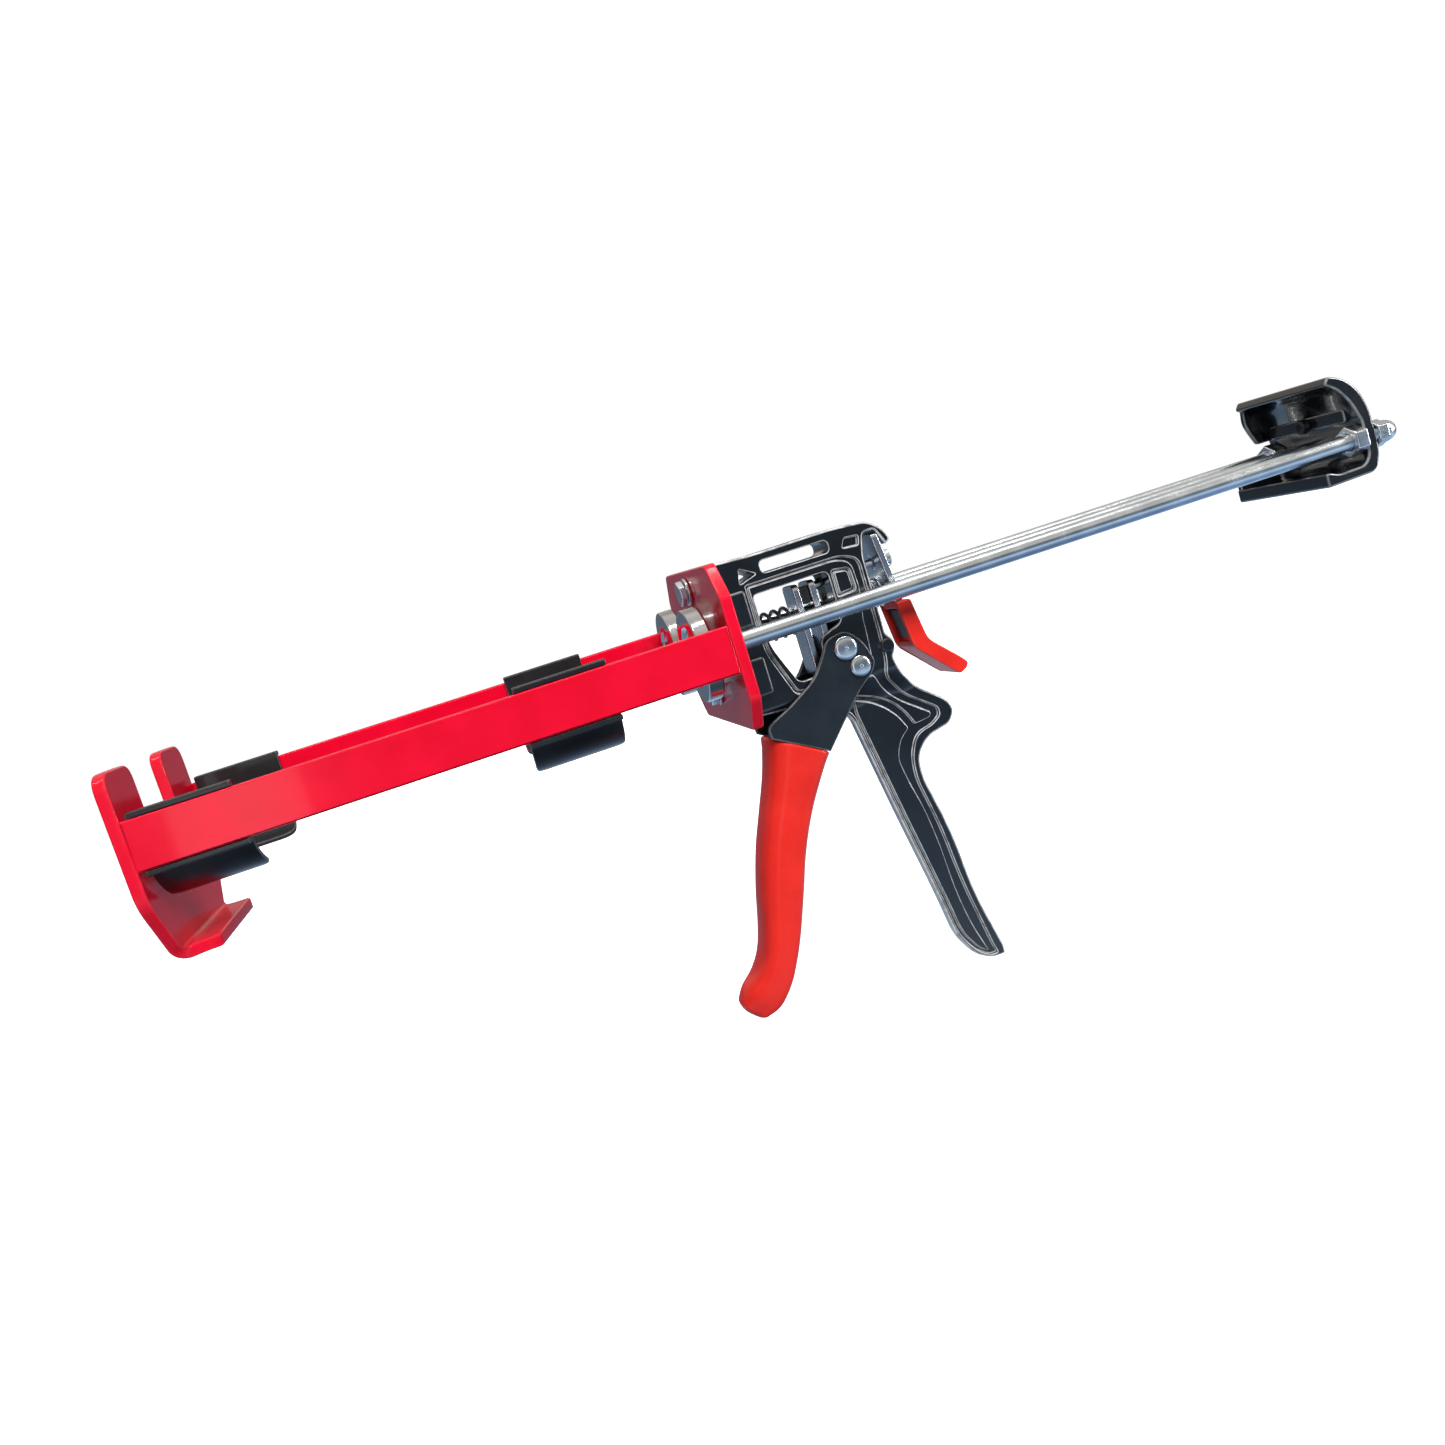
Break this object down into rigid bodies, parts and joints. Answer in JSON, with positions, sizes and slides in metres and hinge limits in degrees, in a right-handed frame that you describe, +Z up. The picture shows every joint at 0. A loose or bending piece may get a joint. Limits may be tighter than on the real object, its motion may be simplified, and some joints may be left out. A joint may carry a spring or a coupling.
{
  "type": "caulking gun",
  "caption": "Side-by-side cartridge caulking gun: red steel cage, black cast body and handle, dipped trigger, ratcheting drive rods with pistons and a pull yoke.",
  "frame": {"origin": "centre of the drive rod's flat front end, level with the front face of the rear plate", "axes": "+X runs from the nozzle end to the pull yoke along the rods, +Y from the near side to the far side, +Z up, away from the handle"},
  "size_m": [0.5828, 0.108, 0.2174],
  "materials": {
    "red_paint": "gloss powder coat",
    "red_dip": "semi-gloss dipped vinyl",
    "black_cast": "gloss black enamel on a casting",
    "black_plastic": "semi-gloss moulded plastic",
    "black_steel": "black enamel on pressed steel",
    "piston_steel": "gloss black",
    "zinc": "bright zinc plate"
  },
  "bodies": {
    "frame": {"front_plate": "red_paint", "rear_plate": "red_paint", "side_bar_near": "red_paint", "side_bar_far": "red_paint", "front_clip_near": "black_plastic", "front_clip_far": "black_plastic", "middle_clip_near": "black_plastic", "middle_clip_far": "black_plastic", "frame_bolt_upper": "zinc", "frame_bolt_lower": "zinc", "frame_washer_upper": "zinc", "frame_washer_lower": "zinc", "cast_body": "black_cast", "trigger_pivot_pin": "zinc", "plate_stop_pin": "zinc", "brake_screw": "zinc", "drive_spring": "black_steel", "brake_spring": "zinc"},
    "trigger": {"trigger_lever": "black_steel", "trigger_sleeve": "red_dip", "drive_pin": "zinc"},
    "drive_plates": {"drive_plate_front": "zinc", "drive_plate_rear": "zinc", "drive_plate_spacer": "black_plastic"},
    "brake": {"brake_plate": "zinc", "release_lever": "red_dip", "release_block": "black_plastic"},
    "carriage": {"drive_rod": "zinc", "push_rod_near": "zinc", "push_rod_far": "zinc", "piston_near": "piston_steel", "piston_far": "piston_steel", "piston_screw_near": "zinc", "piston_screw_far": "zinc", "yoke": "black_cast", "rod_nut_near": "zinc", "rod_nut_far": "zinc", "dome_nut_near": "zinc", "dome_nut_far": "zinc", "dome_nut_centre": "zinc", "yoke_lock_screw": "black_steel"}
  },
  "joints": [
    {"name": "trigger_hinge", "type": "hinge", "parent": "frame", "child": "trigger", "pos_m": [0.0616, 0, -0.0279], "axis": [0, -1, 0], "range_deg": [0, 25], "stiffness_Nm_per_rad": 3, "springref_deg": -11.46},
    {"name": "drive_slide", "type": "slide", "parent": "frame", "child": "drive_plates", "axis": [-1, 0, 0], "range_m": [0, 0.004], "deforming": ["drive_spring"]},
    {"name": "brake_hinge", "type": "hinge", "parent": "frame", "child": "brake", "pos_m": [0.0857, 0, 0.024], "axis": [0, 1, 0], "range_deg": [0, 5], "stiffness_Nm_per_rad": 1, "springref_deg": -11.46, "deforming": ["brake_spring"]},
    {"name": "carriage_slide", "type": "slide", "parent": "frame", "child": "carriage", "axis": [-1, 0, 0], "range_m": [0, 0.18]}
  ],
  "couplings": [
    {"joint": "drive_slide", "follows": "trigger_hinge", "m_per_rad": 0.0085}
  ]
}
